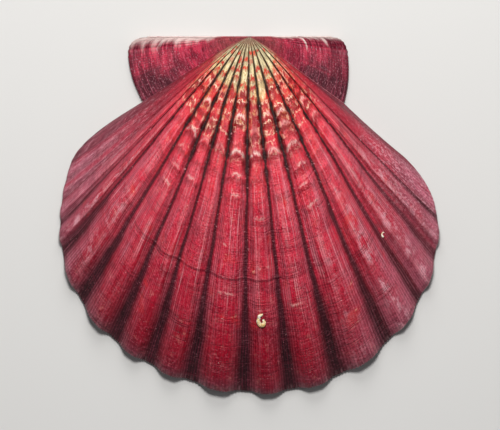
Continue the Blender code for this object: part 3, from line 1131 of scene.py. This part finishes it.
    # The smooth sides are grainy. Where the shoulders turn down, painted shade darkens them.
    drawn_out = noise(joined(thread * 1.3, size * 34.0, 2.0), 1.0, 4.0, 0.75)
    speckled = noise(here, 1.7, 3.0, 0.7)
    grainy = between(smooth(place, 7.0, 9.0), drawn_out, speckled)
    rough_zone = most(flank, to_the_side) * smooth(worn_size, 0.38, 0.62) * (1 - 0.8 * groove)
    colour = blend(smooth(grainy, 0.50, 0.64) * rough_zone * 0.8, colour, tone(218, 156, 166))
    colour = blend(smooth(grainy, 0.49, 0.36) * rough_zone * 0.36, colour, tone(112, 34, 54))
    folds = noise(joined(place * 2.6, size * 2.0, 4.0), 1.0, 2.0)
    colour = blend(smooth(folds, 0.50, 0.64) * rough_zone * 0.6, colour, tone(170, 44, 66))
    crease = noise(joined(place * 7.0, size * 2.4, 15.0), 1.0, 2.0)
    crease = (1 - smooth(abs(crease - 0.5), 0.0, 0.035)) * rough_zone * smooth(patches, 0.36, 0.56)
    colour = blend(crease * 0.6, colour, tone(96, 20, 42))
    # Painted shade where the shoulders turn down.
    turned_down_shade = most(smooth(place, 0.35, 0.0), smooth(place, 15.6, 16.0)) * smooth(size, 0.3, 0.5)
    colour = blend(turned_down_shade * 0.45, colour, tone(70, 22, 36))

    # Threads and growth lines cross, so the surface looks woven.
    weave = noise(joined(thread * 0.9, size * 150.0, 3.0), 1.0, 1.0, 0.5)
    cloudy = smooth(noise(joined(place * 1.4, size * 9.0, 1.0), 1.0, 3.0), 0.36, 0.62)
    woven = smooth(size, 0.30, 0.50) * between(groove, 1.0, 0.4) * between(cloudy, 0.25, 1.0)
    pale_weave = between(smooth(size, 0.55, 0.85), 0.36, 0.22)
    colour = blend(smooth(weave, 0.54, 0.67) * woven * pale_weave, colour, tone(226, 116, 134))
    colour = blend(smooth(weave, 0.46, 0.34) * woven * 0.40, colour, tone(92, 8, 30))

    # Blots of orange red with a pale fleck, few and large.
    blot = noise(joined(place * 1.5, size * 13.0, 12.0), 1.0, 2.0)
    blot = smooth(blot, 0.61, 0.74) * on_crest
    blot = blot * smooth(size, 0.34, 0.44) * (1 - smooth(size, 0.84, 0.92))
    colour = blend(blot * 0.6, colour, tone(208, 44, 44))
    fleck = smooth(noise(joined(place * 6.0, size * 60.0, 13.0), 1.0, 2.0), 0.60, 0.70)
    colour = blend(blot * fleck * 0.8, colour, tone(238, 160, 140))

    ends_shown = smooth(noise(joined(thread * 0.7, 2.0, 9.0), 1.0, 3.0), 0.46, 0.66)
    rim = smooth(size, 0.984, 0.998) * between(threads["Top"], 0.35, 1.0) * ends_shown
    colour = blend(rim * 0.42, colour, tone(206, 156, 160))

    # Lines of growth, grains of chalk, small dark pits and painted glints.
    colour = blend(lines["Line"] * smooth(size, 0.25, 0.6) * 0.42, colour, tone(92, 16, 34))
    colour = blend(least(lines["Rest"], 1.0) * 0.50, colour, tone(62, 10, 26))
    grains = use_group(tree, SPECKS, place=here, fineness=1.6, amount=0.36)["Spots"]
    colour = blend(grains * between(smooth(size, 0.5, 0.8), 0.55, 0.22), colour, tone(236, 160, 166))
    pits = use_group(tree, SPECKS, place=here, fineness=2.6, amount=0.38)["Spots"]
    colour = blend(pits * 0.55, colour, tone(70, 6, 22))
    # Painted glints: bright specks, fewer in the grooves.
    sparkles = use_group(tree, SPECKS, place=here, fineness=1.15, amount=0.30)["Spots"]
    colour = blend(sparkles * between(groove, 0.75, 0.22), colour, tone(242, 186, 184))

    grain = noise(here, 2.4, 3.0, 0.65)
    coarse = noise(here, 0.7, 2.0)
    thread_height = threads["Top"] * smooth(size, 0.3, 0.6) * between(beside, 0.5, 1.0)
    height = thread_height + 0.5 * lines["Line"] - 0.5 * least(lines["Rest"], 1.0)
    height = height + 1.2 * grain + 1.6 * coarse
    roughness = 0.27 + 0.16 * grain + 0.22 * groove + 0.10 * flank
    return colour, roughness, height


# %% [markdown]
# ## The ears
# The ears have no big ribs. Threads run out from the beak and cross the lines of growth, so the
# surface is a fine lattice. It is crimson pink near the hinge, nearly black purple down and
# outwards, and chalky white in patches along the hinge.

# %% The ears' finish
EAR_PATCHES = ((1.0, 0.735, 0.028, 0.30), (2.0, 0.575, 0.016, 0.34), (2.0, 0.80, 0.03, 0.20))


def paint_ears(tree):
    size, down = attribute(tree, "growth"), attribute(tree, "ear_down")
    ear, thread = attribute(tree, "ear"), attribute(tree, "thread")
    here = millimetres(tree)
    lines = use_group(tree, LINES, growth=size, around=down * 3.0, count=70.0)
    threads = use_group(tree, THREADS, thread=thread, growth=size)
    left = 1 - smooth(ear, 1.4, 1.6)

    band = noise(joined(size * 15.0, down * 2.2, ear * 5.0), 1.0, 3.0)
    patchy = noise(joined(size * 6.0, down * 7.0, ear * 3.0), 1.0, 3.0)
    colour = blend(smooth(band, 0.40, 0.62), tone(216, 54, 82), tone(150, 30, 54))
    colour = blend((1 - left) * 0.20, colour, tone(120, 26, 46))
    colour = blend((1 - smooth(size, 0.16, 0.42)) * 0.6, colour, tone(190, 92, 88))
    dark = smooth(down + (patchy - 0.5) * 0.9, 0.30, 0.82)
    dark = dark * smooth(size, between(left, 0.36, 0.46), between(left, 0.66, 0.78))
    outer = smooth(size + (band - 0.5) * 0.3, between(left, 0.60, 0.80), between(left, 0.90, 1.0))
    dark = most(dark, outer * between(left, 0.66, 0.60))
    colour = blend(dark * 0.86, colour, tone(54, 20, 32))

    # The lattice of threads and growth lines.
    gap = 1 - between(threads["Top"], 0.35, 1.0) * between(lines["Line"], 1.0, 0.25)
    colour = blend(gap * 0.60, colour, tone(56, 12, 28))
    ridge = noise(joined(down * 1.4, size * 62.0, 7.0), 1.0, 2.0, 0.6)
    colour = blend(smooth(ridge, 0.50, 0.70) * 0.32, colour, tone(206, 92, 116))
    colour = blend(smooth(ridge, 0.50, 0.34) * 0.50, colour, tone(80, 14, 36))
    knots = smooth(noise(joined(thread, size * 90.0, 7.0), 1.0, 2.0), 0.56, 0.70)
    colour = blend(knots * 0.38, colour, tone(226, 154, 166))

    # White patches along the hinge.
    hinge_end = between(left, 0.15, 0.24)
    near_hinge = 1 - smooth(down + (band - 0.5) * 0.34, between(left, 0.03, 0.08), hinge_end)
    white = near_hinge * smooth(patchy, 0.26, 0.48) * smooth(size, 0.24, 0.36)
    for ear_number, at, width, length in EAR_PATCHES:
        wandering = size + (patchy - 0.5) * 0.06 - down * 0.04
        patch = bump_at(ear, ear_number, 0.5) * bump_at(wandering, at, width)
        ragged_end = down + (band - 0.5) * 0.2
        white = most(white, smooth(patch, 0.1, 0.6) * (1 - smooth(ragged_end, length * 0.4, length)))
    colour = blend(least(white, 1.0) * 0.85, colour, tone(236, 212, 204))
    grains = use_group(tree, SPECKS, place=here, fineness=1.8, amount=0.36)["Spots"]
    colour = blend(grains * 0.22, colour, tone(220, 168, 172))

    grain = noise(here, 2.6, 3.0, 0.6)
    height = threads["Top"] + 0.9 * lines["Line"] + grain - 0.5 * least(lines["Rest"], 1.0)
    roughness = 0.44 + 0.2 * grain
    return colour, roughness, height


# %% [markdown]
# ## The hollow side
# The photograph shows the ribbed side only, but a shell is picked up and turned over. Inside, such
# a valve is smooth and glossy, white to rose, with the outside's dark red showing as a border at
# the edge. It carries the round scar where the one big muscle held on, the line where the soft
# mantle ended, and the brown pit of the elastic cushion in the middle of the hinge.

# %% The hollow side's finish
SCAR_CENTRE = (7.0, 3.0)
SCAR_RADIUS = 12.5
HINGE_Y = 44.6


def paint_hollow(tree):
    size, place = attribute(tree, "growth"), attribute(tree, "rib_place")
    here = millimetres(tree)
    x, y, _ = parts_of(here)
    lines = use_group(tree, LINES, growth=size, around=place, count=60.0)
    cloudy = noise(here, 0.09, 3.0)
    fine = noise(here, 0.5, 3.0)
    colour = blend(smooth(cloudy, 0.35, 0.65), tone(238, 222, 216), tone(226, 186, 190))
    ray = noise(joined(place * 2.0, size * 1.2, 3.0), 1.0, 3.0)
    colour = blend(smooth(ray, 0.45, 0.7) * smooth(size, 0.3, 0.8) * 0.5, colour, tone(196, 122, 140))
    border = smooth(size + (fine - 0.5) * 0.04, 0.90, 0.955)
    colour = blend(border * 0.85, colour, tone(150, 44, 66))
    rim = smooth(size, 0.975, 0.995)
    colour = blend(rim * 0.7, colour, tone(96, 36, 50))
    colour = blend(lines["Line"] * 0.12, colour, tone(206, 160, 164))

    from_scar = ((x - SCAR_CENTRE[0]) ** 2.0 + (y - SCAR_CENTRE[1]) ** 2.0) ** 0.5
    from_scar = from_scar + (cloudy - 0.5) * 5.0
    ring = 1 - smooth(abs(from_scar - SCAR_RADIUS), 0.2, 0.9)
    inside = 1 - smooth(from_scar, SCAR_RADIUS - 0.6, SCAR_RADIUS)
    colour = blend(inside * 0.35, colour, tone(246, 236, 226))
    colour = blend(ring * 0.4, colour, tone(190, 140, 146))
    mantle = 1 - smooth(abs(size + (fine - 0.5) * 0.02 - 0.80), 0.002, 0.008)
    colour = blend(mantle * 0.35, colour, tone(190, 130, 140))

    from_hinge = HINGE_Y - y
    pit = (1 - smooth(abs(x) - from_hinge * 0.35, 0.6, 1.4)) * (1 - smooth(from_hinge, 3.5, 5.0))
    colour = blend((1 - smooth(from_hinge, 1.0, 3.5)) * 0.45, colour, tone(168, 112, 92))
    colour = blend(pit * 0.85, colour, tone(74, 44, 30))
    height = 0.25 * lines["Line"] + 0.5 * ring + 0.5 * mantle + 0.25 * fine - 1.5 * pit
    roughness = 0.17 + 0.12 * fine + 0.15 * inside + 0.3 * border + 0.35 * pit
    return colour, roughness, height


# %% [markdown]
# ## Worm tubes
# Two small worms once lived on this shell and left their chalky tubes. The larger is hooked and
# about 2 mm wide and 3.5 mm long, and it sits on a middle rib. Each is a swept tube that thickens
# along its path, laid on the skin by dropping every point of its path straight down onto it.

# %% The chalky finish


def paint_chalk(tree):
    here = millimetres(tree)
    rings = sine(noise(here, 1.2, 2.0) * 40.0) * 0.5 + 0.5
    cloudy = noise(here, 1.6, 3.0)
    colour = blend(smooth(cloudy, 0.4, 0.62), tone(250, 244, 232), tone(222, 196, 134))
    colour = blend(smooth(rings, 0.8, 1.0) * 0.35, colour, tone(186, 150, 96))
    _, y, _ = parts_of(here)
    stained = smooth(y + (cloudy - 0.5) * 1.5, -26.2, -27.4)
    colour = blend(stained * 0.7, colour, tone(206, 158, 84))
    return colour, 0.55 + 0.2 * cloudy, 0.6 * rings + 0.4 * cloudy


# %% Make the finishes


def finish(name, paint, bump_mm, shine=0.5, coat=0.0, coat_roughness=0.2):
    """A material whose colour, roughness and relief come from one painting function."""
    material = bpy.data.materials.new(name)
    material.use_nodes = True
    tree = material.node_tree
    shader = tree.nodes["Principled BSDF"]
    colour, roughness, height = paint(tree)
    bump = add_node(tree, "ShaderNodeBump")
    bump.inputs["Distance"].default_value = bump_mm * MM
    feed(bump.inputs["Height"], height)
    feed(shader.inputs["Base Color"], colour)
    feed(shader.inputs["Roughness"], roughness)
    tree.links.new(bump.outputs[0], shader.inputs["Normal"])
    shader.inputs["Specular IOR Level"].default_value = shine
    shader.inputs["Coat Weight"].default_value = coat
    shader.inputs["Coat Roughness"].default_value = coat_roughness
    print(name, "has", len(tree.nodes), "nodes")
    return material


outside = finish("ribbed_side", paint_ribs, 0.15, shine=0.26)
ears = finish("ear_lattice", paint_ears, 0.16, shine=0.26)
inside = finish("hollow_porcelain", paint_hollow, 0.05, coat=0.35, coat_roughness=0.12)
chalk = finish("worm_chalk", paint_chalk, 0.06)

# %% Grow the skin in its finishes
shell = grow_shell(outside, ears, inside)
triangles = sum(len(face.vertices) - 2 for face in shell.data.polygons)
print("The shell has", triangles, "triangles")
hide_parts("scallop_shell")
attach(shell, "root")

# %% Lay the worm tubes on the skin
TUBE_SIDES = 14


def on_the_skin(tree_of_skin, x, y):
    hit, *_ = tree_of_skin.ray_cast(Vector((x, y, 0.1)), Vector((0, 0, -1)))
    return hit.z


def rounded_path(corners, steps):
    """A smooth path through the corners, as (x, y, radius) rows."""
    rows = []
    padded = [corners[0], *corners, corners[-1]]
    for a, b, c, d in zip(padded, padded[1:], padded[2:], padded[3:]):
        for step in range(steps):
            t = step / steps
            rows.append([
                0.5 * (2 * q + (r - p) * t + (2 * p - 5 * q + 4 * r - s) * t * t
                       + (3 * q - p - 3 * r + s) * t**3)
                for p, q, r, s in zip(a, b, c, d)
            ])
    return rows + [list(corners[-1])]


def worm_tube(name, centre, corners):
    """A tube along corners given as (x, y, radius) in millimetres around its centre."""
    skin = BVHTree.FromObject(shell, bpy.context.evaluated_depsgraph_get())
    bm = bmesh.new()
    path = []
    for x, y, radius in rounded_path(corners, 6):
        x, y, radius = centre[0] + x * MM, centre[1] + y * MM, radius * MM
        path.append((Vector((x, y, on_the_skin(skin, x, y) + radius * 0.62)), radius))
    rings = []
    for n, (point, radius) in enumerate(path):
        ahead = path[min(n + 1, len(path) - 1)][0] - path[max(n - 1, 0)][0]
        side = ahead.cross(Vector((0, 0, 1))).normalized()
        up = side.cross(ahead).normalized()
        swollen = radius * (1 + 0.07 * math.sin(n * 2.1))
        ring = []
        for turn in range(TUBE_SIDES):
            angle = 2 * math.pi * turn / TUBE_SIDES
            spoke = side * math.cos(angle) + up * math.sin(angle)
            ring.append(bm.verts.new(point + spoke * swollen))
        rings.append(ring)
    for first, second in zip(rings, rings[1:]):
        for n in range(TUBE_SIDES):
            m = (n + 1) % TUBE_SIDES
            bm.faces.new((first[n], first[m], second[m], second[n]))
    # The narrow end is closed. The mouth turns in and goes down to a dark floor.
    bm.faces.new(rings[0])
    mouth = bm.faces.new(rings[-1])
    bmesh.ops.inset_individual(bm, faces=[mouth], thickness=path[-1][1] * 0.3)
    inward = (path[-3][0] - path[-1][0]).normalized() * path[-1][1] * 1.2
    bmesh.ops.translate(bm, verts=list(mouth.verts), vec=inward)
    bmesh.ops.recalc_face_normals(bm, faces=bm.faces)
    mesh = bpy.data.meshes.new(name)
    bm.to_mesh(mesh)
    bm.free()
    mesh.shade_smooth()
    mesh.materials.append(chalk)
    tube = bpy.data.objects.new(name, mesh)
    bpy.context.scene.collection.objects.link(tube)
    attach(tube, "root")
    print(name, "has", len(mesh.polygons), "faces")


def pixel_place(right, down):
    """The place on the shell, in metres, that shows at this pixel of the picture."""
    return ((right - 249.2) * PIXEL, (214.9 - down) * PIXEL)


worm_tube("worm_tube_large", pixel_place(260.5, 319.5), [
    (0.52, 1.50, 0.20), (0.10, 1.30, 0.36), (-0.34, 1.06, 0.40), (-0.40, 0.52, 0.36),
    (-0.58, -0.16, 0.46), (-0.30, -0.88, 0.50), (0.16, -1.22, 0.52), (0.66, -1.02, 0.60),
    (0.96, -0.52, 0.40), (0.72, -0.02, 0.30), (0.78, 0.34, 0.24),
])
worm_tube("worm_tube_small", pixel_place(382.5, 234.5), [
    (0.30, 0.68, 0.09), (-0.05, 0.62, 0.14), (-0.28, 0.22, 0.19), (-0.16, -0.24, 0.23),
    (0.10, -0.46, 0.27),
])

# %% [markdown]
# ## Floor and light
# The floor is a plain pale sheet. The light is soft and comes mostly from beyond the hinge, so the
# slope towards the far edge darkens. Two weaker soft lights at the sides graze the ribs, so that
# their outer sides shine a little.

# %% The floor and the lights
bpy.ops.mesh.primitive_plane_add(size=3.0, location=(0, 0, -0.0003))
floor = bpy.context.object
floor.name = "floor"


def paint_floor(tree):
    here = millimetres(tree)
    cloudy = noise(here, 0.004, 2.0)
    return blend(cloudy, tone(202, 200, 196), tone(208, 206, 203)), 0.6 + 0.05 * cloudy, cloudy


floor.data.materials.append(finish("pale_floor", paint_floor, 0.01))


def soft_light(name, place, width, watts, colour=(1.0, 1.0, 1.0)):
    data = bpy.data.lights.new(name, "AREA")
    data.energy, data.size, data.color = watts, width, colour
    light = bpy.data.objects.new(name, data)
    light.location = place
    light.rotation_euler = (-Vector(place)).to_track_quat("-Z", "Y").to_euler()
    bpy.context.scene.collection.objects.link(light)


soft_light("high_light", (0.0, 0.20, 0.50), 0.11, 2.3)
soft_light("far_light", (0.0, 0.46, 0.30), 0.34, 1.7)
soft_light("left_light", (-0.50, 0.06, 0.24), 0.25, 0.18, (0.90, 0.95, 1.0))
soft_light("right_light", (0.50, 0.06, 0.24), 0.25, 0.20, (0.90, 0.95, 1.0))
world = bpy.data.worlds.new("studio")
world.use_nodes = True
world.node_tree.nodes["Background"].inputs["Color"].default_value = (0.94, 0.96, 1.0, 1)
world.node_tree.nodes["Background"].inputs["Strength"].default_value = 0.12
bpy.context.scene.world = world
bpy.context.scene.view_settings.view_transform = "Standard"
